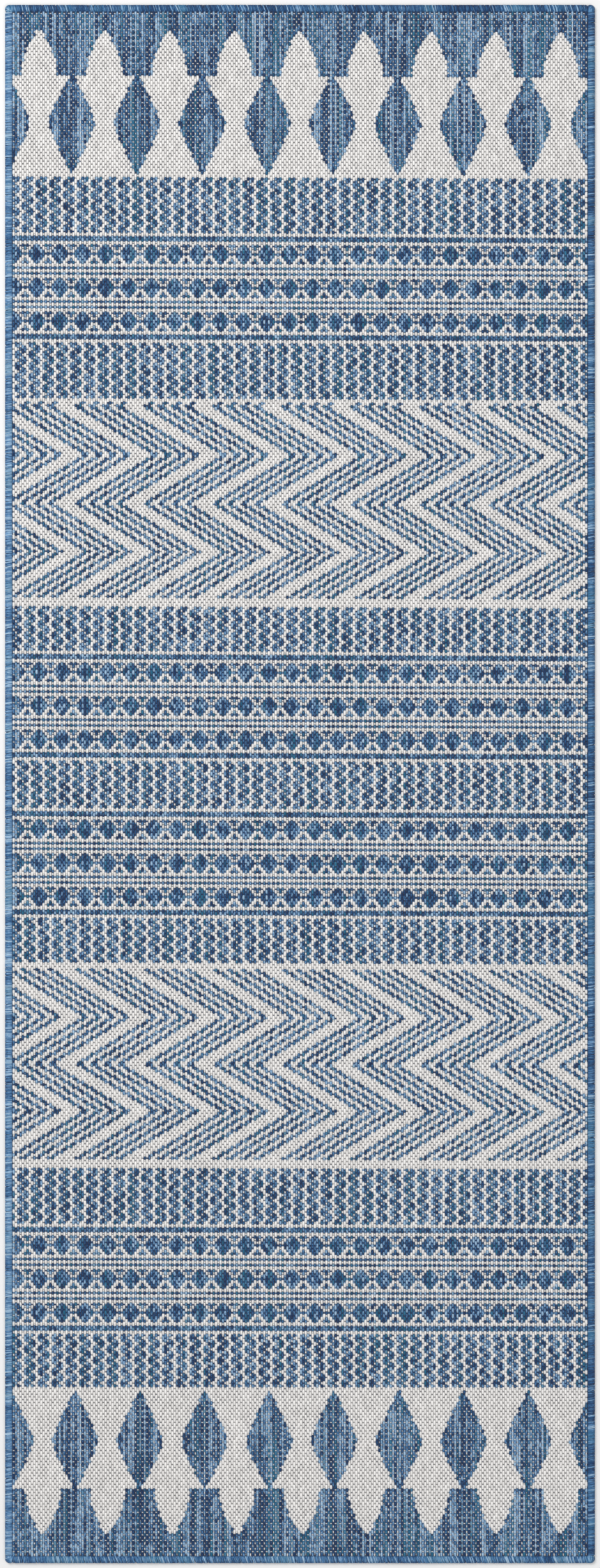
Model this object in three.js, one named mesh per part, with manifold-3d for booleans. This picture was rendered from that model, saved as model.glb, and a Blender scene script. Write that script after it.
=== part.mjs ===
// Runner rug: a flat-woven cloth of three yarn layers, whipped all round over an edge cord.
// Millimetres, +Z up. The origin is the centre of the underside.
// +Y runs along the rug's length, towards its head, and +X across it.

import * as THREE from 'three';
import { mergeVertices } from 'three/addons/utils/BufferGeometryUtils.js';
import initManifold from 'manifold-3d';

// ---- driving dimensions ----

const rugWidth = 800;
const rugLength = 2115;
const cornerRadius = 6; // of the whipped outline, seen from above

// The cloth's yarn layers in the open field.
const faceThickness = 1.3; // figured warp ends that float on the face
const coreThickness = 1.6; // weft picks
const backThickness = 1.3; // figured warp ends that float on the back
const pressedShare = 0.62; // what is left of each thickness under the whipping

// The whipping yarn, wound round the cloth's margin.
const whipWidth = 10; // how far its two lips reach in over the cloth
const whipWall = 1.2; // outside the edge cord
const lipUnder = 0.7;
const lipOver = 1.0;
const whipRounding = 1.6; // of the outer edge, top and bottom

const cordDiameter = 2.6; // filler cord along the cloth's cut edge
const cordSides = 16;

const yarnClearance = 0.2; // round the cord and the margin inside the whipping
const seamGap = 0.3; // between whippings, and from a lip to the open field
const cornerSteps = 6;

// ---- sizes that follow ----

const fieldThickness = faceThickness + coreThickness + backThickness;
const pressedThickness = pressedShare * fieldThickness;
const channelHeight = Math.max(pressedThickness, cordDiameter) + 2 * yarnClearance;
const whipHeight = lipUnder + channelHeight + lipOver;
const channelMiddle = lipUnder + channelHeight / 2;

// Distances in from the rug's outer edge.
const cordInset = whipWall + yarnClearance + cordDiameter / 2;
const marginInset = whipWall + yarnClearance + cordDiameter + yarnClearance;
const fieldInset = whipWidth + seamGap;

// ---- colours ----

const yarn = (color) => new THREE.MeshStandardMaterial({ color, roughness: 0.9, metalness: 0 });
const faceYarn = yarn(0xa9b9cb);
const backYarn = yarn(0x93a9c2);
const weftYarn = yarn(0xd9d3c6);
const cordYarn = yarn(0xcfc8b8);
const whipYarn = yarn(0x4a78a6);

// ---- solids ----

const { Manifold, Mesh: ManifoldMesh } = await initManifold().then((kit) => {
  kit.setup();
  return kit;
});

function toSolid(geometry) {
  const bare = new THREE.BufferGeometry();
  bare.setAttribute('position', geometry.getAttribute('position'));
  bare.setIndex(geometry.getIndex());
  const welded = mergeVertices(bare, 1e-5);
  const mesh = new ManifoldMesh({
    numProp: 3,
    vertProperties: Float32Array.from(welded.getAttribute('position').array),
    triVerts: Uint32Array.from(welded.getIndex().array),
  });
  return new Manifold(mesh);
}

function toGeometry(solid) {
  const mesh = solid.getMesh();
  const geometry = new THREE.BufferGeometry();
  geometry.setAttribute('position', new THREE.BufferAttribute(mesh.vertProperties, 3));
  geometry.setIndex(new THREE.BufferAttribute(mesh.triVerts, 1));
  geometry.computeVertexNormals();
  return geometry;
}

// A box centred on the Z axis, inset from the rug's outline by `inset`, from z = low to z = high.
function insetBox(inset, low, high) {
  const box = new THREE.BoxGeometry(rugWidth - 2 * inset, rugLength - 2 * inset, high - low);
  return toSolid(box.translate(0, 0, (low + high) / 2));
}

// The rug's outline with round corners, inset by `inset`.
function outline(inset) {
  const x = rugWidth / 2 - inset;
  const y = rugLength / 2 - inset;
  const r = Math.max(cornerRadius - inset, 0.5);
  const shape = new THREE.Shape();
  shape.moveTo(r - x, -y);
  shape.absarc(x - r, r - y, r, -Math.PI / 2, 0);
  shape.absarc(x - r, y - r, r, 0, Math.PI / 2);
  shape.absarc(r - x, y - r, r, Math.PI / 2, Math.PI);
  shape.absarc(r - x, r - y, r, Math.PI, 1.5 * Math.PI);
  return shape;
}

function plate(inset, low, high) {
  const options = { depth: high - low, bevelEnabled: false, curveSegments: cornerSteps };
  return toSolid(new THREE.ExtrudeGeometry(outline(inset), options).translate(0, 0, low));
}

// A plate of the rug's full outline, with its top and bottom edges rounded.
function roundedPlate(height, rounding) {
  const options = {
    depth: height - 2 * rounding,
    bevelSize: rounding,
    bevelThickness: rounding,
    bevelOffset: -rounding,
    bevelSegments: 4,
    curveSegments: cornerSteps,
  };
  return toSolid(new THREE.ExtrudeGeometry(outline(0), options).translate(0, 0, rounding));
}

// ---- sub-parts ----

// One yarn layer: full thickness in the open field, and pressed thinner under the whipping.
function clothLayer(fieldLow, thickness) {
  const pressedLow = channelMiddle - pressedThickness / 2 + pressedShare * fieldLow;
  const pressedHigh = pressedLow + pressedShare * thickness;
  const field = insetBox(fieldInset, fieldLow, fieldLow + thickness);
  const margin = insetBox(marginInset, pressedLow, pressedHigh)
    .subtract(insetBox(fieldInset, pressedLow - 1, pressedHigh + 1));
  return toGeometry(field.add(margin));
}

// The whipping all round: a rounded rim with a channel for the cloth's margin and the cord.
function whippingRing() {
  const channel = plate(whipWall, lipUnder, lipUnder + channelHeight);
  const opening = insetBox(whipWidth, -1, whipHeight + 1);
  return roundedPlate(whipHeight, whipRounding).subtract(channel).subtract(opening);
}

// The head and foot whippings run the full width and cover the corners.
function endWhipping(ring, side) {
  const reach = new THREE.BoxGeometry(2 * rugWidth, 2 * whipWidth, 3 * whipHeight);
  return toGeometry(ring.intersect(toSolid(reach.translate(0, (side * rugLength) / 2, 0))));
}

// The side whippings run between them.
function sideWhipping(ring, side) {
  const length = rugLength - 2 * (whipWidth + seamGap);
  const reach = new THREE.BoxGeometry(2 * whipWidth, length, 3 * whipHeight);
  return toGeometry(ring.intersect(toSolid(reach.translate((side * rugWidth) / 2, 0, 0))));
}

function cord(length) {
  const round = cordDiameter / 2;
  return new THREE.CylinderGeometry(round, round, length, cordSides);
}

// ---- the rug ----

const rug = new THREE.Group();

function add(name, geometry, material) {
  const mesh = new THREE.Mesh(geometry, material);
  mesh.name = name;
  rug.add(mesh);
  return mesh;
}

function addCloth() {
  add('cloth_back_warps', clothLayer(0, backThickness), backYarn);
  add('cloth_weft_core', clothLayer(backThickness, coreThickness), weftYarn);
  add('cloth_face_warps', clothLayer(backThickness + coreThickness, faceThickness), faceYarn);
}

function addCords() {
  const cordEnd = Math.max(cornerRadius, marginInset + seamGap);
  for (const [name, side] of [['right', 1], ['left', -1]]) {
    const mesh = add(`edge_cord_${name}`, cord(rugLength - 2 * cordEnd), cordYarn);
    mesh.position.set(side * (rugWidth / 2 - cordInset), 0, channelMiddle);
  }
  for (const [name, side] of [['head', 1], ['foot', -1]]) {
    const mesh = add(`edge_cord_${name}`, cord(rugWidth - 2 * cornerRadius), cordYarn);
    mesh.rotation.z = Math.PI / 2;
    mesh.position.set(0, side * (rugLength / 2 - cordInset), channelMiddle);
  }
}

function addWhipping() {
  const ring = whippingRing();
  add('whipping_head', endWhipping(ring, 1), whipYarn);
  add('whipping_foot', endWhipping(ring, -1), whipYarn);
  add('whipping_right', sideWhipping(ring, 1), whipYarn);
  add('whipping_left', sideWhipping(ring, -1), whipYarn);
}

addCloth();
addCords();
addWhipping();

export default rug;
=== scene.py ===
"""Runner rug: a figured flat-woven cloth with wound yarn edges, laid flat and seen from above."""

import math

import bpy
import numpy as np
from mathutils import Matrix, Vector


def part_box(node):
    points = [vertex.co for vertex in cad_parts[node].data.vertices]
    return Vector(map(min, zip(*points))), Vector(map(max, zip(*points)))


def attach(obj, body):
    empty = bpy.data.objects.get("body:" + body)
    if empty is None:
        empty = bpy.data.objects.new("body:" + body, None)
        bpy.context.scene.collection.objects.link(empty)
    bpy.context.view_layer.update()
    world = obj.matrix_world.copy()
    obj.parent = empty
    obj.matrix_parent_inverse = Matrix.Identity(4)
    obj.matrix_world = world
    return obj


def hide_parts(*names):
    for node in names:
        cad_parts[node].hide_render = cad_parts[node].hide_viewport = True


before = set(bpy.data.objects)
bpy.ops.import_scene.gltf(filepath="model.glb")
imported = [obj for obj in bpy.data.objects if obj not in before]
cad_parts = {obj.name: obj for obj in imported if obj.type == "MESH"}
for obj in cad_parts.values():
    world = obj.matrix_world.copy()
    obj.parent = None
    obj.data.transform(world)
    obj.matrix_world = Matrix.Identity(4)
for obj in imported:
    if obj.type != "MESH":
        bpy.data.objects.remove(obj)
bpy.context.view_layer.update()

# Pitches of the weave, metres.
WARP_PITCH = 0.00312
PICK_PITCH = 0.00381
SEAM_GAP = 0.0003

# The open field of the cloth, inside the whipping.
side_whip_low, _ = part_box("whipping_right")
end_whip_low, end_whip_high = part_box("whipping_head")
face_low, face_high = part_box("cloth_face_warps")
FIELD_X = side_whip_low.x - SEAM_GAP
FIELD_Y = end_whip_low.y - SEAM_GAP
COLUMNS = 2 * round(FIELD_X / WARP_PITCH)
PICKS = round(2 * FIELD_Y / PICK_PITCH)
COLUMN = 2 * FIELD_X / COLUMNS
PICK = 2 * FIELD_Y / PICKS
CLOTH_TOP = face_high.z

# Heights inside the cloth, metres: the face floats lie on the ground, and the back hangs below it.
FACE_DEPTH = 0.0012
GROUND_TOP = CLOTH_TOP - FACE_DEPTH
GROUND_FOOT = 0.0008
BACK_TOP = GROUND_FOOT + 0.0001
RELIEF = 0.0006

NOISE_SEED = 41


# ---- colours


def linear(level):
    """A display level from 0 to 255 as scene-linear light."""
    share = level / 255
    return share / 12.92 if share <= 0.04045 else ((share + 0.055) / 1.055) ** 2.4


def dye(red, green, blue):
    """A yarn colour, given in display levels."""
    return (linear(red), linear(green), linear(blue), 1.0)


CREAM_LIGHT = dye(246, 244, 242)
CREAM_DULL = dye(230, 228, 226)
# Painted shade for the sides of the cream yarns.
CREAM_PAINTED_SHADE = dye(150, 147, 146)
NAVY = dye(10, 44, 88)
DENIM = dye(36, 90, 140)
MIST = dye(98, 146, 190)
SKY = dye(172, 202, 226)
TEAL = dye(26, 110, 142)
# Painted shade for the ground yarn between the floats, in a dark and a lighter grey.
PAINTED_SHADE_DARK = dye(50, 52, 60)
PAINTED_SHADE_GREY = dye(104, 104, 108)


# ---- the figure


def wrap(values, period):
    """Distance from the nearest repeat of a motif, from -period/2 to period/2."""
    return (values + period / 2) % period - period / 2


across = np.arange(COLUMNS) + 0.5 - COLUMNS / 2

# The border figure: places in picks from the rug's end, then half widths in columns.
FISH_TIP, FISH_SHOULDER, FISH_WAIST, FISH_END = 6.7, 23.4, 40.0, 58.7
FISH_BODY, FISH_FIN, FISH_STEM, FISH_TAIL = 7.8, 13.2, 4.0, 14.3
# How full the head, the fins and the tail are drawn; 1 is straight.
FISH_BODY_BEND, FISH_FIN_BEND, FISH_TAIL_BEND = 0.75, 1.25, 1.15


def fish_half_width(pick):
    """Half width in columns of a border figure, at a distance in picks from the rug's end."""
    if pick < FISH_TIP:
        return 0.0
    if pick < FISH_SHOULDER:
        share = (pick - FISH_TIP) / (FISH_SHOULDER - FISH_TIP)
        return FISH_BODY * math.sin(math.pi / 2 * share) ** FISH_BODY_BEND
    if pick < FISH_WAIST:
        share = (pick - FISH_SHOULDER) / (FISH_WAIST - FISH_SHOULDER)
        return FISH_STEM + (FISH_FIN - FISH_STEM) * (1 - share) ** FISH_FIN_BEND
    share = min(1.0, (pick - FISH_WAIST) / (FISH_END - FISH_WAIST))
    return FISH_STEM + (FISH_TAIL - FISH_STEM) * share**FISH_TAIL_BEND


BORDER_PICKS = 59


def border_rows(spacing, centre, inset):
    """Blue ground with cream figures, row 0 against the whipping, one figure at the centre given."""
    widths = np.array([fish_half_width(row + 0.5 - inset) for row in range(BORDER_PICKS)])
    return np.abs(wrap(across - centre, spacing))[None, :] > widths[:, None]


# Four picks of the speckle, six columns to a repeat; blue is marked.
SPECKLE_DRAFT = ("#...##", ".##.##", "###...", ".##.##")


def speckle_rows(count, first_pick, first_column):
    """The small all-over speckle: cream zigzags that run along the rug between blue patches."""
    draft = np.array([[mark == "#" for mark in row] for row in SPECKLE_DRAFT])
    columns = (np.floor(across).astype(int) + first_column) % draft.shape[1]
    rows = (np.arange(count) + first_pick) % draft.shape[0]
    return draft[rows][:, columns]


DROP_SPACING = 10
# Half widths in columns of a drop, and of the small figures between drops, pick by pick.
DROP_HALF_WIDTHS = (1.5, 2.5, 3.5, 3.5, 3.5, 2.5, 1.5)
BETWEEN_HALF_WIDTHS = (1.5, 0.5, 0, 1.5, 0, 0.5, 1.5)


def drop_rows(centre):
    """One row of blue drops standing on a cream zigzag, with a drop at the centre given."""
    to_drop = np.abs(wrap(across - centre, DROP_SPACING))
    to_between = DROP_SPACING / 2 - to_drop
    drops = to_drop[None, :] < np.array(DROP_HALF_WIDTHS)[:, None]
    between = to_between[None, :] < np.array(BETWEEN_HALF_WIDTHS)[:, None]
    return drops | between


def plain_rows(count, blue):
    """Picks of one colour."""
    return np.full((count, COLUMNS), blue)


def drop_band(centre):
    """Three rows of drops between pin stripes, with a broader stripe above and below."""
    pin_stripes = [plain_rows(1, blue) for blue in (False, True, False, True, False)]
    broad = plain_rows(2, True)
    edge = plain_rows(1, False)
    drops = drop_rows(centre)
    rows = [broad, edge, drops, *pin_stripes, drops, *pin_stripes, drops, edge, broad]
    return np.concatenate(rows)


# First pick of each band of drops, and of each row of drops within a band.
DROP_BAND_STARTS = (80, 229, 285, 433)
DROP_ROW_STARTS = (3, 15, 27)
PINCHED_PICKS = 3


def pinched_picks():
    """The picks at the top of every row of drops, where the cream floats are pulled narrow."""
    pinched = np.zeros(PICKS, bool)
    for start in DROP_BAND_STARTS:
        for row_start in DROP_ROW_STARTS:
            top = start + row_start
            pinched[top : top + PINCHED_PICKS] = True
    return pinched


# The zigzag lines step sideways by two columns with every pick; spacings and widths are in columns.
CHEVRON_STEP = 2
LINE_SPACING = 6
LINE_WIDTH = 3
BROAD_LINE_SPACING = 5 * LINE_SPACING
BROAD_LINE_WIDTH = 8.7


def chevron_rows(count, leg, lead, place):
    """Fine zigzag blue lines along the rug, one in every five left out for a broad cream line.

    leg is the picks from one turn to the next, lead the picks before the first row, and place the
    column where a broad line turns.
    """
    along = (np.arange(count) + 0.5 + lead) / leg
    middle = place + CHEVRON_STEP * leg * (1 - np.abs(along % 2 - 1))
    to_line = across[None, :] - middle[:, None]
    fine = np.abs(wrap(to_line, LINE_SPACING)) < LINE_WIDTH / 2
    broad = np.abs(wrap(to_line, BROAD_LINE_SPACING)) < BROAD_LINE_WIDTH / 2
    return fine & ~broad


def figure():
    """Every cell of the face, pick by column from the head: true where it is blue."""
    cream = plain_rows(1, False)
    bands = [
        border_rows(28.35, 0.0, 0.0),
        speckle_rows(20, 2, 5),
        cream,
        drop_band(-4.5),
        cream,
        speckle_rows(20, 0, 2),
        cream,
        chevron_rows(70, 17.25, -1.75, -13.0),
        plain_rows(3, False),
        speckle_rows(16, 2, 4),
        cream,
        drop_band(-3.5),
        cream,
        speckle_rows(17, 0, 1),
        cream,
        drop_band(-3.5),
        cream,
        speckle_rows(16, 3, 4),
        plain_rows(2, False),
        chevron_rows(68, 16.75, -0.5, -12.5),
        plain_rows(3, False),
        speckle_rows(20, 1, 1),
        cream,
        drop_band(-3.5),
        cream,
        speckle_rows(19, 3, 4),
        cream,
        border_rows(28.15, 0.75, 1.0)[::-1],
    ]
    cells = np.concatenate(bands)
    rows = np.minimum(np.arange(PICKS), len(cells) - 1)
    return cells[rows]


# ---- yarn colour along the warps


def slow_waves(rng, lines, length, step):
    """For each line, a value from 0 to 1 that drifts along it, with a knot about every step cells."""
    knots = rng.random((lines, int(length / step) + 3))
    start = rng.random((lines, 1))
    place = np.arange(length)[None, :] / step + start
    low = np.floor(place).astype(int)
    share = place - low
    ease = share * share * (3 - 2 * share)
    rows = np.arange(lines)[:, None]
    return knots[rows, low] * (1 - ease) + knots[rows, low + 1] * ease


# Half the size, in columns and picks, of the smallest area that counts as broad.
BROAD_COLUMNS, BROAD_PICKS = 2, 3


def shifted(cells):
    """The cells moved by every step within half the size of a broad area."""
    margins = ((BROAD_PICKS, BROAD_PICKS), (BROAD_COLUMNS, BROAD_COLUMNS))
    padded = np.pad(cells, margins, mode="edge")
    return [
        padded[down : down + PICKS, aside : aside + COLUMNS]
        for down in range(2 * BROAD_PICKS + 1)
        for aside in range(2 * BROAD_COLUMNS + 1)
    ]


def broad_blue(cells):
    """True in the blue areas that are at least five columns wide and seven picks long."""
    middles = np.logical_and.reduce(shifted(cells))
    return np.logical_or.reduce(shifted(middles))


# In broad blue areas and in small figures: how much of a tone lasts from pick to pick, and contrast.
LASTING_TONE = (0.62, 0.3)
TONE_CONTRAST = (2.0, 1.35)
TONE_MIDDLE = 0.52
# Picks from one knot to the next of what drifts along a warp: its tone, its hue, its pale lines.
TONE_DRIFT, HUE_DRIFT, LINE_DRIFT = 30, 24, 40


def warp_tones(rng, cells):
    """How light each cell's blue yarn is, from 0 navy to 1 pale, pick by column."""
    slow = slow_waves(rng, COLUMNS, PICKS, TONE_DRIFT).T
    quick = rng.random((COLUMNS, PICKS)).T
    broad = broad_blue(cells)
    lasting = np.where(broad, *LASTING_TONE)
    tones = lasting * slow + (1 - lasting) * quick
    return np.clip((tones - 0.5) * np.where(broad, *TONE_CONTRAST) + TONE_MIDDLE, 0, 1)


def warp_hues(rng):
    """How much teal each cell's blue yarn has: none in most, and up to 0.7 in some stretches."""
    return np.clip(slow_waves(rng, COLUMNS, PICKS, HUE_DRIFT).T * 2.4 - 1.5, 0, 0.7)


def pale_lines(rng):
    """How strongly a pale line shows beside each cell in broad blue cloth, from 0 to 1."""
    return np.clip(slow_waves(rng, COLUMNS, PICKS, LINE_DRIFT).T * 1.8 - 0.4, 0, 1)


# ---- meshes and node trees


def new_piece(name, mesh):
    """An object at the origin that holds the mesh."""
    piece = bpy.data.objects.new(name, mesh)
    bpy.context.scene.collection.objects.link(piece)
    return piece


def mesh_of(name, points, faces):
    """A smooth mesh from points and faces."""
    mesh = bpy.data.meshes.new(name)
    mesh.from_pydata([tuple(p) for p in points], [], faces)
    mesh.shade_smooth()
    mesh.update()
    return mesh


def unwrap_onto(mesh, corner_places):
    """Writes the piece's own map, one place for each face corner."""
    layer = mesh.uv_layers.get("OFBake") or mesh.uv_layers.new(name="OFBake")
    layer.data.foreach_set("uv", np.asarray(corner_places, np.float32).ravel())


def mark_points(mesh, label, values):
    """Writes one number on every point of a mesh, for its material to read."""
    attribute = mesh.attributes.new(label, "FLOAT", "POINT")
    attribute.data.foreach_set("value", np.asarray(values, np.float32).ravel())


def mark_painted_light_level(mesh):
    """Notes how high each point of a yarn shape stands, so that its finish can paint shade down the
    sides.
    """
    heights = np.array([max(0.0, point.co.z) for point in mesh.vertices])
    mark_points(mesh, "painted_light_level", heights / heights.max())


# A float's cross sections along its half length, how full the outer ones are, and its tucked tips.
FLOAT_STATIONS = (-0.7, 0.0, 0.7)
FLOAT_SHOULDER = 0.9
FLOAT_TIP_HEIGHT = -0.15
# Map places of its left flank, right flank and underside, and of its cross sections and tips.
FLOAT_STRIPS = ((0, 1, 0.04, 0.44), (1, 2, 0.44, 0.84), (2, 0, 0.84, 0.96))
FLOAT_MAP_HEIGHTS = (0.24, 0.5, 0.76)
FLOAT_MAP_TIPS = (0.02, 0.98)


def float_shape():
    """One raised float of warp yarn: a lens of unit width, unit half length and unit height."""
    points = [(0.0, -1.0, FLOAT_TIP_HEIGHT)]
    for place in FLOAT_STATIONS:
        full = 1.0 if place == 0 else FLOAT_SHOULDER
        points += [(-full / 2, place, 0.0), (0.0, place, full), (full / 2, place, 0.0)]
    points.append((0.0, 1.0, FLOAT_TIP_HEIGHT))
    last = len(points) - 1
    top = last - 3
    faces, places = [], []
    rise = FLOAT_MAP_HEIGHTS
    for near, far, left, right in FLOAT_STRIPS:
        middle = (left + right) / 2
        faces.append((0, 1 + far, 1 + near))
        places += [(middle, FLOAT_MAP_TIPS[0]), (right, rise[0]), (left, rise[0])]
        for station in range(len(FLOAT_STATIONS) - 1):
            low = 1 + 3 * station
            faces.append((low + near, low + far, low + 3 + far, low + 3 + near))
            places += [(left, rise[station]), (right, rise[station])]
            places += [(right, rise[station + 1]), (left, rise[station + 1])]
        faces.append((top + near, top + far, last))
        places += [(left, rise[-1]), (right, rise[-1]), (middle, FLOAT_MAP_TIPS[1])]
    mesh = mesh_of("float_shape", points, faces)
    unwrap_onto(mesh, places)
    mark_painted_light_level(mesh)
    return mesh


def tie_shape():
    """A short bar of yarn that shows where the warp dips: a low mound, long along X."""
    corners = [(-0.5, -0.5, 0.0), (0.5, -0.5, 0.0), (0.5, 0.5, 0.0), (-0.5, 0.5, 0.0)]
    crown = (0.0, 0.0, 1.0)
    faces = [(0, 1, 4), (1, 2, 4), (2, 3, 4), (3, 0, 4), (3, 2, 1, 0)]
    # Map places: the four sides round the crown, then the underside below them.
    seen = [(0.04, 0.3), (0.96, 0.3), (0.96, 0.96), (0.04, 0.96), (0.5, 0.63)]
    places = [seen[corner] for face in faces[:-1] for corner in face]
    places += [(0.04, 0.04), (0.04, 0.2), (0.96, 0.2), (0.96, 0.04)]
    mesh = mesh_of("tie_shape", [*corners, crown], faces)
    unwrap_onto(mesh, places)
    mark_painted_light_level(mesh)
    return mesh


def combine(nodes, links, operation, *values):
    """A maths node on numbers or sockets."""
    node = nodes.new("ShaderNodeMath")
    node.operation = operation
    for socket, value in zip(node.inputs, values):
        if isinstance(value, bpy.types.NodeSocket):
            links.new(value, socket)
        else:
            socket.default_value = value
    return node.outputs[0]


def point_vector(nodes, name):
    """A vector that each point carries."""
    node = nodes.new("GeometryNodeInputNamedAttribute")
    node.data_type = "FLOAT_VECTOR"
    node.inputs["Name"].default_value = name
    return node.outputs["Attribute"]


def random_between(nodes, links, least, most, seed):
    """A random number for each point."""
    node = nodes.new("FunctionNodeRandomValue")
    node.data_type = "FLOAT"
    links.new(least, node.inputs[2])
    links.new(most, node.inputs[3])
    links.new(seed, node.inputs["Seed"])
    return node.outputs[1]


def leaning(nodes, links, entry):
    """Each yarn's turn, with a small random lean about Z."""
    lean = entry.outputs["Lean"]
    other_way = combine(nodes, links, "MULTIPLY", lean, -1.0)
    lean_vector = nodes.new("ShaderNodeCombineXYZ")
    swing = random_between(nodes, links, other_way, lean, entry.outputs["Seed"])
    links.new(swing, lean_vector.inputs["Z"])
    facing = nodes.new("ShaderNodeVectorMath")
    facing.operation = "ADD"
    links.new(point_vector(nodes, "turn"), facing.inputs[0])
    links.new(lean_vector.outputs[0], facing.inputs[1])
    return facing.outputs[0]


SIZE_SEED_STEP = 17


def uneven_size(nodes, links, entry):
    """Each yarn's size, a little larger or smaller at random."""
    unevenness = entry.outputs["Unevenness"]
    least = combine(nodes, links, "SUBTRACT", 1.0, unevenness)
    most = combine(nodes, links, "ADD", 1.0, unevenness)
    seed = combine(nodes, links, "ADD", entry.outputs["Seed"], SIZE_SEED_STEP)
    scale = nodes.new("ShaderNodeVectorMath")
    scale.operation = "SCALE"
    links.new(point_vector(nodes, "size"), scale.inputs[0])
    links.new(random_between(nodes, links, least, most, seed), scale.inputs["Scale"])
    return scale.outputs[0]


LAYING_INPUTS = (
    ("Points", "NodeSocketGeometry"),
    ("Yarn shape", "NodeSocketObject"),
    ("Finish", "NodeSocketMaterial"),
    ("Lean", "NodeSocketFloat"),
    ("Unevenness", "NodeSocketFloat"),
    ("Seed", "NodeSocketInt"),
)


def laying_tree(name):
    """Sets one yarn shape at every point, sized and turned by the point's own values."""
    tree = bpy.data.node_groups.new(name, "GeometryNodeTree")
    tree.interface.new_socket("Geometry", in_out="OUTPUT", socket_type="NodeSocketGeometry")
    for label, kind in LAYING_INPUTS:
        tree.interface.new_socket(label, in_out="INPUT", socket_type=kind)
    nodes, links = tree.nodes, tree.links
    entry = nodes.new("NodeGroupInput")
    outcome = nodes.new("NodeGroupOutput")
    shape = nodes.new("GeometryNodeObjectInfo")
    links.new(entry.outputs["Yarn shape"], shape.inputs["Object"])
    lay = nodes.new("GeometryNodeInstanceOnPoints")
    links.new(entry.outputs["Points"], lay.inputs["Points"])
    links.new(shape.outputs["Geometry"], lay.inputs["Instance"])
    links.new(leaning(nodes, links, entry), lay.inputs["Rotation"])
    links.new(uneven_size(nodes, links, entry), lay.inputs["Scale"])
    real = nodes.new("GeometryNodeRealizeInstances")
    links.new(lay.outputs["Instances"], real.inputs["Geometry"])
    finish = nodes.new("GeometryNodeSetMaterial")
    links.new(real.outputs["Geometry"], finish.inputs["Geometry"])
    links.new(entry.outputs["Finish"], finish.inputs["Material"])
    links.new(finish.outputs["Geometry"], outcome.inputs["Geometry"])
    return tree


def set_input(modifier, tree, name, value):
    """Sets a modifier's input by the label that the tree gives it."""
    identifier = next(
        item.identifier
        for item in tree.interface.items_tree
        if item.item_type == "SOCKET" and item.in_out == "INPUT" and item.name == name
    )
    modifier[identifier] = value


def lay_yarns(name, tree, shape, finish, values, points, sizes, turns, seed, extras):
    """Runs the laying tree over the points and keeps the result as one plain mesh."""
    mesh = bpy.data.meshes.new(name)
    mesh.vertices.add(len(points))
    mesh.vertices.foreach_set("co", np.asarray(points, np.float32).ravel())
    for label, kind, data in (("size", "FLOAT_VECTOR", sizes), ("turn", "FLOAT_VECTOR", turns)):
        attribute = mesh.attributes.new(label, kind, "POINT")
        attribute.data.foreach_set("vector", np.asarray(data, np.float32).ravel())
    for label, data in extras.items():
        mark_points(mesh, label, data)
    number = mesh.attributes.new("number", "INT", "POINT")
    number.data.foreach_set("value", np.arange(len(points), dtype=np.int32))
    piece = new_piece(name, mesh)
    modifier = piece.modifiers.new("laying", "NODES")
    modifier.node_group = tree
    set_input(modifier, tree, "Yarn shape", shape)
    set_input(modifier, tree, "Finish", finish)
    set_input(modifier, tree, "Seed", seed)
    for label, value in values.items():
        set_input(modifier, tree, label, value)
    depsgraph = bpy.context.evaluated_depsgraph_get()
    made = bpy.data.meshes.new_from_object(
        piece.evaluated_get(depsgraph), preserve_all_data_layers=True, depsgraph=depsgraph
    )
    piece.modifiers.remove(modifier)
    piece.data = made
    made.name = name
    bpy.data.meshes.remove(mesh)
    spread_map(made, len(points))
    for label in ("size", "turn", "number"):
        if label in made.attributes:
            made.attributes.remove(made.attributes[label])
    return piece


def spread_map(mesh, count):
    """Gives every yarn its own small square of the piece's map."""
    side = math.ceil(math.sqrt(count))
    numbers = np.zeros(len(mesh.vertices), np.int32)
    mesh.attributes["number"].data.foreach_get("value", numbers)
    corners = np.zeros(len(mesh.loops), np.int32)
    mesh.loops.foreach_get("vertex_index", corners)
    layer = mesh.uv_layers["OFBake"]
    places = np.zeros(len(mesh.loops) * 2, np.float32)
    layer.data.foreach_get("uv", places)
    own = numbers[corners]
    square = np.stack([own % side, own // side], axis=1)
    layer.data.foreach_set("uv", ((places.reshape(-1, 2) + square) / side).ravel())


# ---- materials


def new_material(name):
    """A material with its nodes, its links and its shader."""
    material = bpy.data.materials.new(name)
    material.use_nodes = True
    nodes = material.node_tree.nodes
    shader = nodes["Principled BSDF"]
    return material, nodes, material.node_tree.links, shader


def attribute_value(nodes, name):
    """A number that the mesh's points carry."""
    node = nodes.new("ShaderNodeAttribute")
    node.attribute_name = name
    return node.outputs["Fac"]


def object_noise(nodes, links, stretch, scale, detail=3.0):
    """Noise in object space, stretched by a factor on each axis."""
    place = nodes.new("ShaderNodeTexCoord")
    mapping = nodes.new("ShaderNodeMapping")
    mapping.inputs["Scale"].default_value = stretch
    links.new(place.outputs["Object"], mapping.inputs["Vector"])
    noise = nodes.new("ShaderNodeTexNoise")
    noise.inputs["Scale"].default_value = scale
    noise.inputs["Detail"].default_value = detail
    links.new(mapping.outputs["Vector"], noise.inputs["Vector"])
    return noise.outputs["Fac"]


def remap(nodes, links, source, low, high):
    """A 0 to 1 value carried to low to high."""
    node = nodes.new("ShaderNodeMapRange")
    node.inputs["To Min"].default_value = low
    node.inputs["To Max"].default_value = high
    links.new(source, node.inputs["Value"])
    return node.outputs["Result"]


def ramp(nodes, links, source, stops):
    """A colour picked by a value between stops."""
    node = nodes.new("ShaderNodeValToRGB")
    elements = node.color_ramp.elements
    while len(elements) < len(stops):
        elements.new(0.5)
    for element, (place, colour) in zip(elements, stops):
        element.position = place
        element.color = colour
    links.new(source, node.inputs["Fac"])
    return node.outputs["Color"]


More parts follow.
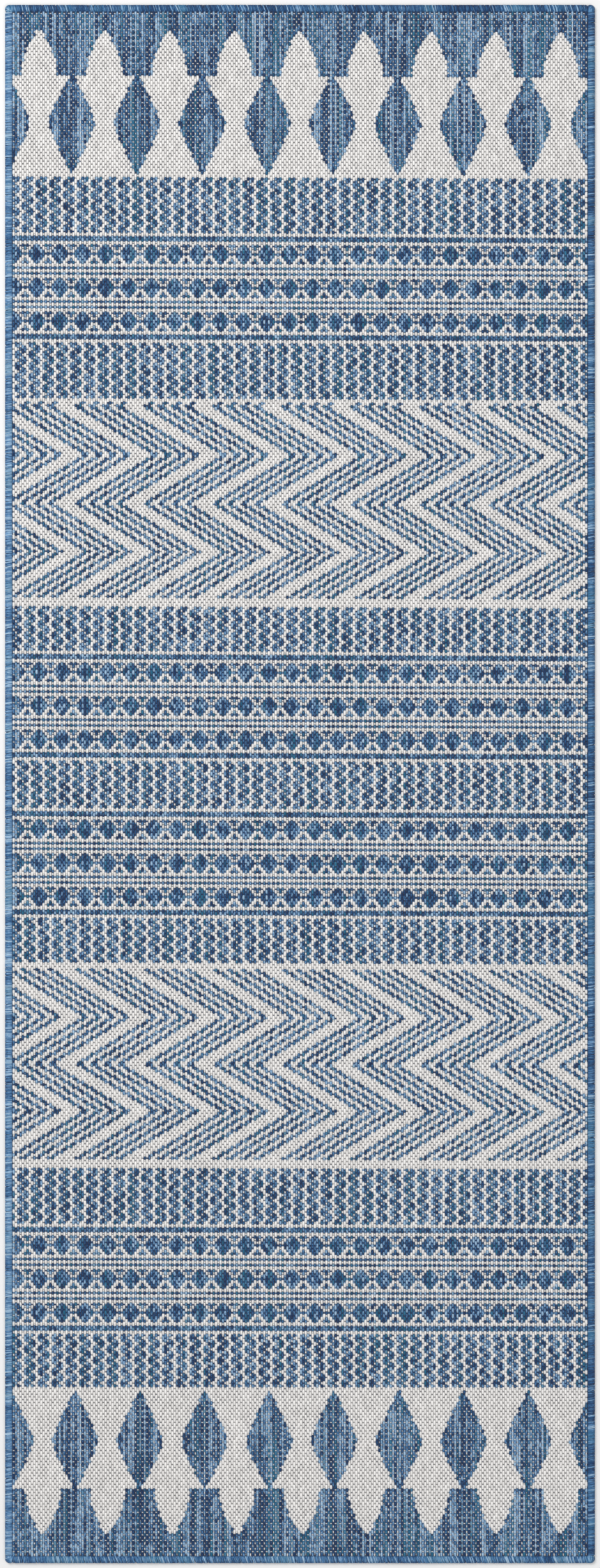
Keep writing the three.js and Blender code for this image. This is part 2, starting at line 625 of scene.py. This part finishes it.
def mix_colour(nodes, links, share, first, second, blend="MIX"):
    """Two colours, or sockets, mixed by a share."""
    node = nodes.new("ShaderNodeMix")
    node.data_type = "RGBA"
    node.blend_type = blend
    for socket, value in ((node.inputs[0], share), (node.inputs[6], first), (node.inputs[7], second)):
        if isinstance(value, bpy.types.NodeSocket):
            links.new(value, socket)
        else:
            socket.default_value = value
    return node.outputs[2]


def fibre_bump(nodes, links, shader, stretch, scale, depth, strength):
    """Fine fibres and plies, as bump."""
    fibres = object_noise(nodes, links, stretch, scale, 4.0)
    bump = nodes.new("ShaderNodeBump")
    bump.inputs["Strength"].default_value = strength
    bump.inputs["Distance"].default_value = depth
    links.new(fibres, bump.inputs["Height"])
    links.new(bump.outputs["Normal"], shader.inputs["Normal"])


# How noise is stretched along the warp, and its scale for fibres, mottling and roughness.
WARP_STRETCH = (1.0, 0.28, 1.0)
FIBRE_SCALE, MOTTLE_SCALE, ROUGH_SCALE = 2600.0, 1500.0, 900.0
FIBRE_DEPTH, FIBRE_STRENGTH = 0.0002, 0.5
ROUGHNESS = (0.82, 0.98)


def mottled(nodes, links, base, stretch, dark, light):
    """A colour with fine fibres that are a little darker or lighter."""
    shade = remap(nodes, links, object_noise(nodes, links, stretch, MOTTLE_SCALE), dark, light)
    return mix_colour(nodes, links, 1.0, base, shade, "MULTIPLY")


def finish_yarn(nodes, links, shader, stretch=WARP_STRETCH):
    """The dull, slightly fuzzy surface that all the yarns share."""
    rough = object_noise(nodes, links, stretch, ROUGH_SCALE)
    links.new(remap(nodes, links, rough, *ROUGHNESS), shader.inputs["Roughness"])
    shader.inputs["Specular IOR Level"].default_value = 0.25
    shader.inputs["Sheen Weight"].default_value = 0.12
    shader.inputs["Sheen Roughness"].default_value = 0.6
    fibre_bump(nodes, links, shader, stretch, FIBRE_SCALE, FIBRE_DEPTH, FIBRE_STRENGTH)


def cream_yarn():
    """Cream of a tone that varies from yarn to yarn, with painted shade down the sides of each yarn."""
    material, nodes, links, shader = new_material("undyed cream yarn")
    tone = attribute_value(nodes, "tone")
    painted_light_level = attribute_value(nodes, "painted_light_level")
    crown = mix_colour(nodes, links, tone, CREAM_DULL, CREAM_LIGHT)
    # Painted shade: the low sides of each yarn are mixed towards a grey cream, and its crown keeps the
    # yarn's own colour.
    clear_of_painted_shade = remap(nodes, links, painted_light_level, 0.15, 1.6)
    base = mix_colour(nodes, links, clear_of_painted_shade, CREAM_PAINTED_SHADE, crown)
    links.new(mottled(nodes, links, base, WARP_STRETCH, 0.9, 1.1), shader.inputs["Base Color"])
    finish_yarn(nodes, links, shader)
    return material


BLUE_STOPS = ((0.0, NAVY), (0.36, DENIM), (0.68, MIST), (1.0, SKY))


def blue_yarn(name="space-dyed blue yarn", stretch=WARP_STRETCH, marling=2.1):
    """Blue from navy to pale by each yarn's tone, with plies of other tones twisted in and painted
    shade down the sides of each yarn.
    """
    material, nodes, links, shader = new_material(name)
    tone = attribute_value(nodes, "tone")
    hue = attribute_value(nodes, "hue")
    painted_light_level = attribute_value(nodes, "painted_light_level")
    marl = object_noise(nodes, links, stretch, 1200.0, 2.0)
    # Painted shade: the tone is lowered down the sides of each yarn, and where a whipping strand turns
    # down over an edge.
    painted_shade = remap(nodes, links, painted_light_level, -0.33 - marling / 2, 0.13 - marling / 2)
    lift = combine(nodes, links, "MULTIPLY_ADD", marl, marling, painted_shade)
    base = ramp(nodes, links, combine(nodes, links, "ADD", tone, lift), BLUE_STOPS)
    tinted = mix_colour(nodes, links, hue, base, TEAL)
    links.new(mottled(nodes, links, tinted, stretch, 0.78, 1.2), shader.inputs["Base Color"])
    finish_yarn(nodes, links, shader, stretch)
    return material


def ground_painted_shade():
    """Painted shade for the yarn that shows only between the floats: dark grey, bluer where the cloth
    is blue.
    """
    material, nodes, links, shader = new_material("ground yarn in painted shade")
    speck = object_noise(nodes, links, (1.0, 1.0, 1.0), 420.0)
    painted_shade_grey = mix_colour(nodes, links, speck, PAINTED_SHADE_DARK, PAINTED_SHADE_GREY)
    share = remap(nodes, links, attribute_value(nodes, "blue_share"), 0.0, 2.2)
    base = mix_colour(nodes, links, share, painted_shade_grey, NAVY)
    links.new(base, shader.inputs["Base Color"])
    finish_yarn(nodes, links, shader)
    return material


def back_yarn():
    """Cream and blue for the woven back."""
    material, nodes, links, shader = new_material("yarns on the back")
    share = attribute_value(nodes, "cream_share")
    tone = attribute_value(nodes, "tone")
    blue = ramp(nodes, links, tone, BLUE_STOPS)
    base = mix_colour(nodes, links, share, blue, CREAM_DULL)
    links.new(mottled(nodes, links, base, WARP_STRETCH, 0.75, 1.1), shader.inputs["Base Color"])
    finish_yarn(nodes, links, shader)
    return material


def cord_yarn():
    """Twisted cord under the whipping."""
    material, nodes, links, shader = new_material("twisted edge cord")
    place = nodes.new("ShaderNodeTexCoord")
    wave = nodes.new("ShaderNodeTexWave")
    wave.bands_direction = "DIAGONAL"
    wave.inputs["Scale"].default_value = 260.0
    wave.inputs["Distortion"].default_value = 1.5
    links.new(place.outputs["Object"], wave.inputs["Vector"])
    base = mix_colour(nodes, links, wave.outputs["Fac"], NAVY, DENIM)
    links.new(base, shader.inputs["Base Color"])
    finish_yarn(nodes, links, shader)
    return material


# ---- the cloth


# Reach of a float from its cell's middle, in picks, cream then blue.
LONG_REACH = (1.02, 0.92)
SHORT_REACH = (0.92, 0.64)
# Width of a float in columns: cream, blue in an odd column, blue in an even column.
CREAM_WIDTH, BLUE_WIDTH_ODD, BLUE_WIDTH_EVEN = 1.58, 1.2, 1.42
# Share of that width for a float that is short at both ends, at one end and at neither.
CREAM_NARROWING = (0.92, 0.95, 1.0)
BLUE_NARROWING = (0.96, 0.98, 1.0)
# Share of its width and length left to a cream float where the cloth is pulled tight.
PINCH = 0.78
CREAM_HEIGHT, BLUE_HEIGHT = 0.0012, 0.0014
TIE_HEIGHT = 0.0013
# Cream bars in blue cloth, and the ticks at a change of colour, in columns and picks.
BAR_LENGTH, BAR_WIDTH = 0.95, 0.4
STRIPE_TICK_WIDTH, TICK_WIDTH = 0.78, 0.74
TICK_HEIGHT = 0.0013
STRIPE_TICK_LENGTH, TICK_LENGTH = 0.95, 0.75
# How far a tick sits from the middle of its dip, towards its own colour, in picks.
TICK_DRIFT = 0.16
# Least, and most added where a pale line is strongest: width, length, height and paleness of an
# upright bar.
LINE_WIDTHS, LINE_LENGTHS = (0.24, 0.34), (0.8, 1.1)
LINE_HEIGHTS, LINE_PALENESS = (0.9, 0.35), (0.1, 0.5)
LOOSENESS = {"Lean": 0.07, "Unevenness": 0.07}
BAR_SEED, TICK_SEED = NOISE_SEED + 31, NOISE_SEED + 37
STRIPS = 4


def column_x(column):
    return -FIELD_X + (column + 0.5) * COLUMN


def pick_y(pick):
    return FIELD_Y - (pick + 0.5) * PICK


# How far the picks run out of square by the side edges, and how near the ends that dies out, metres.
SKEW = 0.0017
SKEW_FREE = 0.02


def laid_places(columns, picks):
    """Places on the cloth for columns and picks, with the picks a little out of square."""
    x = column_x(columns)
    y = pick_y(picks)
    free = np.clip((FIELD_Y - np.abs(y)) / SKEW_FREE, 0, 1)
    towards_foot = np.clip((y / FIELD_Y + 0.9) / 0.6, -0.4, 1)
    y = y - SKEW * x / FIELD_X * free * towards_foot
    return np.stack([x, y, np.full(len(x), GROUND_TOP)], axis=1)


def neighbours(cells):
    """The cell before and the cell after each one, along the warp."""
    before = np.concatenate([cells[:1], cells[:-1]])
    after = np.concatenate([cells[1:], cells[-1:]])
    return before, after


def float_rows(cells, tones, hues):
    """Every raised float of the face: place, size, colour and tone."""
    picks, columns = np.nonzero((np.add.outer(np.arange(PICKS), np.arange(COLUMNS)) % 2) == 1)
    before, after = neighbours(cells)
    own = cells[picks, columns]
    long_reach = np.where(own, LONG_REACH[1], LONG_REACH[0])
    short_reach = np.where(own, SHORT_REACH[1], SHORT_REACH[0])
    back_reach = np.where(before[picks, columns] == own, long_reach, short_reach)
    front_reach = np.where(after[picks, columns] == own, long_reach, short_reach)
    width = np.where(columns % 2 == 1, BLUE_WIDTH_ODD, BLUE_WIDTH_EVEN)
    width = np.where(own, width, CREAM_WIDTH)
    long_ends = (back_reach == long_reach).astype(int) + (front_reach == long_reach)
    narrowing = np.where(own, np.array(BLUE_NARROWING)[long_ends], np.array(CREAM_NARROWING)[long_ends])
    pinch = np.where(pinched_picks()[picks] & ~own, PINCH, 1.0)
    width = width * narrowing * pinch
    front_reach = front_reach * pinch
    back_reach = back_reach * pinch
    height = np.where(own, BLUE_HEIGHT, CREAM_HEIGHT)
    middle = picks + (front_reach - back_reach) / 2
    points = laid_places(columns, middle)
    sizes = np.stack([width * COLUMN, (back_reach + front_reach) / 2 * PICK, height], axis=1)
    return own, columns, points, sizes, tones[picks, columns], hues[picks, columns]


def dips(cells):
    """Every dip of the face: its own colour, and whether the cells before and after share it."""
    picks, columns = np.nonzero((np.add.outer(np.arange(PICKS), np.arange(COLUMNS)) % 2) == 0)
    before, after = neighbours(cells)
    own = cells[picks, columns]
    return picks, columns, own, before[picks, columns] == own, after[picks, columns] == own


def growing(least_and_more, line):
    """A size that grows with the strength of a pale line."""
    least, more = least_and_more
    return least + more * line


def bar_rows(cells, lines):
    """The cream bars that show in the dips of broad blue cloth: upright in odd columns."""
    picks, columns, own, joined_before, joined_after = dips(cells)
    chosen = own & joined_before & joined_after & broad_blue(cells)[picks, columns]
    picks, columns = picks[chosen], columns[chosen]
    line = lines[picks, columns]
    upright = columns % 2 == 1
    wide = np.where(upright, growing(LINE_WIDTHS, line), BAR_LENGTH)
    tall = np.where(upright, growing(LINE_LENGTHS, line), BAR_WIDTH)
    high = np.where(upright, growing(LINE_HEIGHTS, line), 1.0)
    pale = np.where(upright, growing(LINE_PALENESS, line), 1.0)
    along = np.where(upright, tall * PICK, wide * COLUMN)
    aside = np.where(upright, wide * COLUMN, tall * PICK)
    sizes = np.stack([along, aside, high * TIE_HEIGHT], axis=1)
    turns = np.zeros((len(sizes), 3))
    turns[:, 2] = np.where(upright, math.pi / 2, 0.0)
    return columns, laid_places(columns, picks), sizes, turns, pale


def tick_rows(cells, tones):
    """The narrow ticks where the figure's colour changes along a warp: which are cream, and where."""
    picks, columns, own, joined_before, joined_after = dips(cells)
    chosen = ~(joined_before & joined_after)
    picks, columns = picks[chosen], columns[chosen]
    stripe = ~(joined_before | joined_after)[chosen]
    drift = np.where(stripe, 0.0, np.where(joined_before[chosen], TICK_DRIFT, -TICK_DRIFT))
    tall = np.where(stripe, STRIPE_TICK_LENGTH, TICK_LENGTH) * PICK
    wide = np.where(stripe, STRIPE_TICK_WIDTH, TICK_WIDTH) * COLUMN
    sizes = np.stack([tall, wide, np.full(len(tall), TICK_HEIGHT)], axis=1)
    turns = np.zeros((len(tall), 3))
    turns[:, 2] = math.pi / 2
    points = laid_places(columns, picks + drift)
    return ~own[chosen], columns, points, sizes, turns, tones[picks, columns]


def lay_face(cells, rng):
    """All the floats and ties of the face, in lengthwise strips."""
    tones = warp_tones(rng, cells)
    hues = warp_hues(rng)
    lines = pale_lines(rng)
    tree = laying_tree("lay floats")
    lens = new_piece("float_shape", float_shape())
    mound = new_piece("tie_shape", tie_shape())
    cream_finish = cream_yarn()
    blue_finish = blue_yarn()
    own, columns, points, sizes, tone, hue = float_rows(cells, tones, hues)
    strip = columns * STRIPS // COLUMNS
    pieces = []
    for part in range(STRIPS):
        for blue, label, finish in ((False, "cream", cream_finish), (True, "blue", blue_finish)):
            chosen = (strip == part) & (own == blue)
            count = int(chosen.sum())
            extras = {
                "tone": tone[chosen] if blue else rng.random(count),
                "hue": hue[chosen],
            }
            piece = lay_yarns(
                f"{label}_floats_{part + 1}",
                tree,
                lens,
                finish,
                LOOSENESS,
                points[chosen],
                sizes[chosen],
                np.zeros((count, 3)),
                NOISE_SEED + part * 2 + int(blue),
                extras,
            )
            pieces.append(piece)
    columns, points, sizes, turns, pale = bar_rows(cells, lines)
    for label, chosen in (("left", columns < COLUMNS // 2), ("right", columns >= COLUMNS // 2)):
        count = int(chosen.sum())
        extras = {"tone": pale[chosen] - 0.25 * rng.random(count), "hue": np.zeros(count)}
        piece = lay_yarns(
            f"cream_bars_{label}",
            tree,
            mound,
            cream_finish,
            LOOSENESS,
            points[chosen],
            sizes[chosen],
            turns[chosen],
            BAR_SEED,
            extras,
        )
        pieces.append(piece)
    cream, columns, points, sizes, turns, tone = tick_rows(cells, tones)
    for label, chosen, finish in (("cream", cream, cream_finish), ("blue", ~cream, blue_finish)):
        count = int(chosen.sum())
        extras = {"tone": tone[chosen] * 0.8, "hue": np.zeros(count)}
        if finish is cream_finish:
            extras["tone"] = 0.5 + 0.5 * rng.random(count)
        piece = lay_yarns(
            f"{label}_ticks",
            tree,
            mound,
            finish,
            LOOSENESS,
            points[chosen],
            sizes[chosen],
            turns[chosen],
            TICK_SEED,
            extras,
        )
        pieces.append(piece)
    for helper in (lens, mound):
        bpy.data.objects.remove(helper)
    return pieces


def grid_faces(index):
    """The squares of a grid of point numbers, and the run of numbers round its rim."""
    squares = np.stack([index[:-1, :-1], index[:-1, 1:], index[1:, 1:], index[1:, :-1]], axis=-1)
    rim = np.concatenate([index[0, :], index[1:, -1], index[-1, -2::-1], index[-2:0:-1, 0]])
    return squares.reshape(-1, 4), rim


# Cells to one square of the ground, how wide and deep its edge is tucked, in metres, and how many
# cells away the figure still tints it.
GROUND_STEP = 5
TUCK_WIDTH, TUCK_DEPTH = 0.006, 0.0006
TINT_REACH = 2


def ground_piece(cells):
    """The dense middle of the cloth, seen only between the floats, where its colour is painted shade.
    """
    half_x, half_y = face_high.x, face_high.y
    xs = np.linspace(-half_x, half_x, COLUMNS // GROUND_STEP + 1)
    ys = np.linspace(-half_y, half_y, PICKS // GROUND_STEP + 1)
    grid_x, grid_y = np.meshgrid(xs, ys)
    x, y = grid_x.ravel(), grid_y.ravel()
    inside = np.minimum(half_x - np.abs(x), half_y - np.abs(y)) / TUCK_WIDTH
    top = GROUND_TOP - TUCK_DEPTH * (1 - np.clip(inside, 0, 1))
    count = len(x)
    points = np.concatenate(
        [np.stack([x, y, top], axis=1), np.stack([x, y, np.full(count, GROUND_FOOT)], axis=1)]
    )
    squares, rim = grid_faces(np.arange(count).reshape(grid_x.shape))
    following = np.roll(rim, -1)
    walls = np.stack([rim, rim + count, following + count, following], axis=1)
    faces = np.concatenate([squares, squares[:, ::-1] + count, walls]).tolist()
    mesh = mesh_of("cloth_ground", points, faces)
    edge = TINT_REACH
    near_picks = np.clip(((FIELD_Y - y) / PICK).astype(int), edge, PICKS - 1 - edge)
    near_columns = np.clip(((x + FIELD_X) / COLUMN).astype(int), edge, COLUMNS - 1 - edge)
    around = [
        cells[near_picks + down, near_columns + aside]
        for down in range(-edge, edge + 1)
        for aside in range(-edge, edge + 1)
    ]
    mark_points(mesh, "blue_share", np.tile(np.mean(around, axis=0), 2))
    piece = new_piece("cloth_ground", mesh)
    # Its finish is painted shade, bluer near blue cloth.
    mesh.materials.append(ground_painted_shade())
    return piece


def back_piece(name, cells, tones, left, right):
    """The underside of the cloth, a woven relief whose colours are the face's turned round."""
    grid_c, grid_p = np.meshgrid(np.arange(left, right + 1), np.arange(PICKS + 1))
    x = (-FIELD_X + grid_c * COLUMN).ravel()
    y = (FIELD_Y - grid_p * PICK).ravel()
    lowered = (grid_c + grid_p) % 2 == 1
    z = np.where(lowered, 0.0, RELIEF).ravel()
    near = (np.clip(grid_p, 0, PICKS - 1), np.clip(grid_c, 0, COLUMNS - 1))
    share = np.where(cells[near] == lowered, 1.0, 0.0)
    count = x.size
    points = np.concatenate(
        [np.stack([x, y, z], axis=1), np.stack([x, y, np.full(count, BACK_TOP)], axis=1)]
    )
    squares, rim = grid_faces(np.arange(count).reshape(grid_c.shape))
    following = np.roll(rim, -1)
    walls = np.stack([following, following + count, rim + count, rim], axis=1)
    # The relief, its walls and one lid over them; points that the lid leaves inside are dropped.
    lid = (rim + count)[::-1]
    used = np.concatenate([np.arange(count), rim + count])
    renumber = np.full(2 * count, -1)
    renumber[used] = np.arange(len(used))
    faces = renumber[squares].tolist() + renumber[walls].tolist() + [renumber[lid].tolist()]
    mesh = mesh_of(name, points[used], faces)
    for label, values in (("cream_share", share), ("tone", tones[near])):
        mark_points(mesh, label, np.concatenate([values.ravel(), np.zeros(len(rim))]))
    piece = new_piece(name, mesh)
    return piece


def lay_back(cells, rng):
    """The back of the cloth, in two lengthwise halves."""
    finish = back_yarn()
    tones = warp_tones(rng, cells)
    pieces = [
        back_piece("back_floats_left", cells, tones, 0, COLUMNS // 2),
        back_piece("back_floats_right", cells, tones, COLUMNS // 2, COLUMNS),
    ]
    for piece in pieces:
        piece.data.materials.append(finish)
    return pieces


# ---- the whipping

WHIP_WIDTH = end_whip_high.y - end_whip_low.y
WHIP_HEIGHT = end_whip_high.z
EDGE_X, EDGE_Y = end_whip_high.x, end_whip_high.y
CORNER_RADIUS = 0.006
STRAND_PITCH = 0.0014
STRAND_WIDTH = 0.0019
STRAND_DEPTH = 0.00055
CORNER_FAN = 11
WHIP_SEED = NOISE_SEED + 50
# Runs of whipping: the edge, how far it is turned about the rug's centre, and its base tone.
END_RUNS = (("head", 0.0, 0.23), ("foot", math.pi, 0.4))
SIDE_RUNS = (("right", 0.0, 0.3), ("left", math.pi, 0.56))
END_LEAN = 0.34
SIDE_LEAN = 0.12
# How unevenly the strands lean, how far their widths and heights vary, how their tone drifts and
# varies from strand to strand, and how many are pale and by how much.
LEAN_SPREAD = 0.05
WIDTH_RANGE, HEIGHT_RANGE = (0.8, 1.25), (0.94, 1.04)
LEAN_DRIFT, STRAND_DRIFT = 60, 14
DRIFTING_TONE, SINGLE_TONE = 0.4, 0.3
PALE_SHARE, PALE_LIFT = 0.13, 0.45

# The way a strand goes round the edge: outward share of the width, and share of the height.
STRAND_PATH = (
    (-0.02, 0.5),
    (0.12, 0.86),
    (0.5, 0.92),
    (0.9, 0.74),
    (0.98, 0.3),
    (0.5, 0.1),
    (0.0, 0.14),
)
# Painted light on the crown of a strand at each of those places; below zero it is painted shade where
# the strand turns down over the inner and outer edges.
STRAND_PAINTED_LIGHT = (-0.6, 0.8, 1.0, 0.6, -0.8, 0.4, 0.0)


def strand_shape():
    """One strand of the whipping, wound round the edge: outward is +Y, along the edge is X."""
    points, count = [], len(STRAND_PATH)
    path = [Vector((0.0, out * WHIP_WIDTH, up * WHIP_HEIGHT)) for out, up in STRAND_PATH]
    middle = Vector((0.0, WHIP_WIDTH / 2, WHIP_HEIGHT / 2))
    for place, point in enumerate(path):
        ahead = path[min(place + 1, count - 1)] - path[max(place - 1, 0)]
        outward = Vector((0.0, -ahead.z, ahead.y)).normalized()
        if outward.dot(point - middle) < 0:
            outward = -outward
        points += [
            point + Vector((-STRAND_WIDTH / 2, 0, 0)),
            point + outward * STRAND_DEPTH,
            point + Vector((STRAND_WIDTH / 2, 0, 0)),
        ]
    faces, places = [], []
    strips = ((0, 1, 0.03, 0.43), (1, 2, 0.43, 0.83), (2, 0, 0.83, 0.97))
    steps = [0.06 + 0.88 * n / (count - 1) for n in range(count)]
    for near, far, left, right in strips:
        for station in range(count - 1):
            low = 3 * station
            faces.append((low + near, low + 3 + near, low + 3 + far, low + far))
            places += [
                (left, steps[station]),
                (left, steps[station + 1]),
                (right, steps[station + 1]),
                (right, steps[station]),
            ]
    last = 3 * (count - 1)
    faces.append((0, 1, 2))
    places += [(0.03, 0.05), (0.43, 0.01), (0.83, 0.05)]
    faces.append((last + 2, last + 1, last))
    places += [(0.83, 0.95), (0.43, 0.99), (0.03, 0.95)]
    mesh = mesh_of("strand_shape", points, faces)
    unwrap_onto(mesh, places)
    # Painted light and shade along the strand: lit on its crown, darker down its sides and where it
    # turns over the edges.
    mark_points(mesh, "painted_light_level", [(0.0, crown, 0.0) for crown in STRAND_PAINTED_LIGHT])
    return mesh


def corner_reach(angle):
    """Distance from the inner corner of the whipping to its rounded outer corner."""
    away = WHIP_WIDTH - CORNER_RADIUS
    along = away * (math.cos(angle) + math.sin(angle))
    aside = away * (math.cos(angle) - math.sin(angle))
    return along + math.sqrt(CORNER_RADIUS**2 - aside**2)


def end_strands():
    """Places, turns and lengths of the strands along the head, fanned round both corners."""
    rows = []
    inner_x, inner_y = EDGE_X - WHIP_WIDTH, EDGE_Y - WHIP_WIDTH
    for step in range(CORNER_FAN):
        angle = math.pi / 2 * (step + 0.5) / CORNER_FAN
        rows.append((-inner_x, inner_y, math.pi / 2 - angle, corner_reach(angle) / WHIP_WIDTH, 0))
    count = round(2 * inner_x / STRAND_PITCH)
    for step in range(count):
        x = -inner_x + 2 * inner_x * (step + 0.5) / count
        rows.append((x, inner_y, 0.0, 1.0, 1))
    for step in range(CORNER_FAN):
        angle = math.pi / 2 * (step + 0.5) / CORNER_FAN
        reach = corner_reach(math.pi / 2 - angle) / WHIP_WIDTH
        rows.append((inner_x, inner_y, -angle, reach, 0))
    return np.array(rows)


def side_strands():
    """The same along the right side, where strands point along +X, a quarter turn back."""
    half = EDGE_Y - WHIP_WIDTH - SEAM_GAP
    count = round(2 * half / STRAND_PITCH)
    rows = np.ones((count, 5))
    rows[:, 0] = EDGE_X - WHIP_WIDTH
    rows[:, 1] = half - 2 * half * (np.arange(count) + 0.5) / count
    rows[:, 2] = -math.pi / 2
    return rows


def whipping_piece(edge, tree, shape, finish, rows, spin, lean, base_tone, rng):
    """One run of whipping: strands from a list of places, turned about the rug's centre."""
    count = len(rows)
    cosine, sine = math.cos(spin), math.sin(spin)
    x = rows[:, 0] * cosine - rows[:, 1] * sine
    y = rows[:, 0] * sine + rows[:, 1] * cosine
    points = np.stack([x, y, np.zeros(count)], axis=1)
    wander = slow_waves(rng, 1, count, LEAN_DRIFT)[0] - 0.5
    lean_each = rows[:, 4] * (lean * (1 + wander) + rng.normal(0, LEAN_SPREAD, count))
    turns = np.stack([np.zeros(count), np.zeros(count), spin + rows[:, 2] + lean_each], axis=1)
    widths = rng.uniform(*WIDTH_RANGE, count)
    heights = rng.uniform(*HEIGHT_RANGE, count)
    sizes = np.stack([widths, rows[:, 3] / np.cos(lean_each), heights], axis=1)
    slow = slow_waves(rng, 1, count, STRAND_DRIFT)[0]
    lift = np.where(rng.random(count) < PALE_SHARE, PALE_LIFT, 0.0)
    tone = base_tone + DRIFTING_TONE * (slow - 0.5) + SINGLE_TONE * rng.random(count) + lift
    extras = {"tone": np.clip(tone, 0, 1.3), "hue": np.clip(slow * 1.2 - 0.75, 0, 0.45)}
    name, straight = f"whipping_strands_{edge}", {"Lean": 0.0, "Unevenness": 0.0}
    piece = lay_yarns(
        name, tree, shape, finish, straight, points, sizes, turns, WHIP_SEED, extras
    )
    return piece


def lay_whipping(rng):
    """The four runs of whipping, in the order head, foot, right, left."""
    tree = laying_tree("wind strands")
    strand = new_piece("strand_shape", strand_shape())
    end_finish = blue_yarn("whipping yarn across the ends", (1.0, 0.06, 1.0), 1.3)
    side_finish = blue_yarn("whipping yarn across the sides", (0.06, 1.0, 1.0), 1.3)
    pieces = []
    for runs, finish, rows, lean in (
        (END_RUNS, end_finish, end_strands(), END_LEAN),
        (SIDE_RUNS, side_finish, side_strands(), SIDE_LEAN),
    ):
        for edge, spin, tone in runs:
            pieces.append(
                whipping_piece(edge, tree, strand, finish, rows, spin, lean, tone, rng)
            )
    bpy.data.objects.remove(strand)
    return pieces


# ---- put together

cells = figure()
rng = np.random.default_rng(NOISE_SEED)
face_pieces = lay_face(cells, rng)
back_pieces = lay_back(cells, rng)
ground = ground_piece(cells)

whipping_pieces = lay_whipping(rng)
cord_finish = cord_yarn()
for node_name in ("edge_cord_head", "edge_cord_foot", "edge_cord_left", "edge_cord_right"):
    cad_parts[node_name].data.materials.clear()
    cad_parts[node_name].data.materials.append(cord_finish)

for piece in [*face_pieces, *back_pieces, *whipping_pieces, ground]:
    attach(piece, "root")
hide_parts("cloth_weft_core")
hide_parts("cloth_face_warps")
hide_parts("cloth_back_warps")
for piece, edge in zip(whipping_pieces, ("head", "foot", "right", "left")):
    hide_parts(f"whipping_{edge}")


# ---- floor, light and camera


FLOOR_REACH = 12.0
FLOOR_HEIGHT = -0.0003
FLOOR_COLOUR = dye(240, 240, 240)
ROOM_STRENGTH = 0.42
# Place, size in metres and power in watts.
LIGHTS = (
    ("window light", (-2.6, 2.6, 4.2), 3.0, 200.0),
    ("fill light", (2.4, -2.2, 4.6), 4.0, 90.0),
)
# The length that the picture shows at the height of the cloth, metres; lens and sensor are in mm.
VIEW_LENGTH = 2.127
LENS = 85.0
SENSOR = 36.0


def make_floor():
    """A pale floor just under the rug."""
    corners = [(-1, -1), (1, -1), (1, 1), (-1, 1)]
    points = [(x * FLOOR_REACH, y * FLOOR_REACH, FLOOR_HEIGHT) for x, y in corners]
    mesh = mesh_of("floor", points, [(0, 1, 2, 3)])
    floor = new_piece("floor", mesh)
    material, nodes, links, shader = new_material("pale floor")
    shader.inputs["Base Color"].default_value = FLOOR_COLOUR
    shader.inputs["Roughness"].default_value = 0.9
    shader.inputs["Specular IOR Level"].default_value = 0.1
    mesh.materials.append(material)


def make_light(name, place, size, power):
    """A square area light that faces the rug's middle."""
    data = bpy.data.lights.new(name, "AREA")
    data.shape = "SQUARE"
    data.size = size
    data.energy = power
    light = bpy.data.objects.new(name, data)
    bpy.context.scene.collection.objects.link(light)
    light.location = place
    light.rotation_mode = "QUATERNION"
    light.rotation_quaternion = (-Vector(place)).to_track_quat("-Z", "Y")


def make_world(strength):
    """Even white light from all round."""
    world = bpy.data.worlds.new("soft room")
    world.use_nodes = True
    background = world.node_tree.nodes["Background"]
    background.inputs["Color"].default_value = (1.0, 1.0, 1.0, 1.0)
    background.inputs["Strength"].default_value = strength
    bpy.context.scene.world = world


def make_camera():
    """A long lens straight above the middle."""
    data = bpy.data.cameras.new("camera")
    data.lens = LENS
    data.sensor_width = SENSOR
    data.sensor_fit = "AUTO"
    data.clip_start = 0.1
    data.clip_end = 60.0
    camera = bpy.data.objects.new("camera", data)
    bpy.context.scene.collection.objects.link(camera)
    camera.location = (0.0, 0.0, CLOTH_TOP + VIEW_LENGTH * LENS / SENSOR)
    bpy.context.scene.camera = camera


make_floor()
make_world(ROOM_STRENGTH)
for light in LIGHTS:
    make_light(*light)
make_camera()
bpy.context.scene.view_settings.view_transform = "Standard"
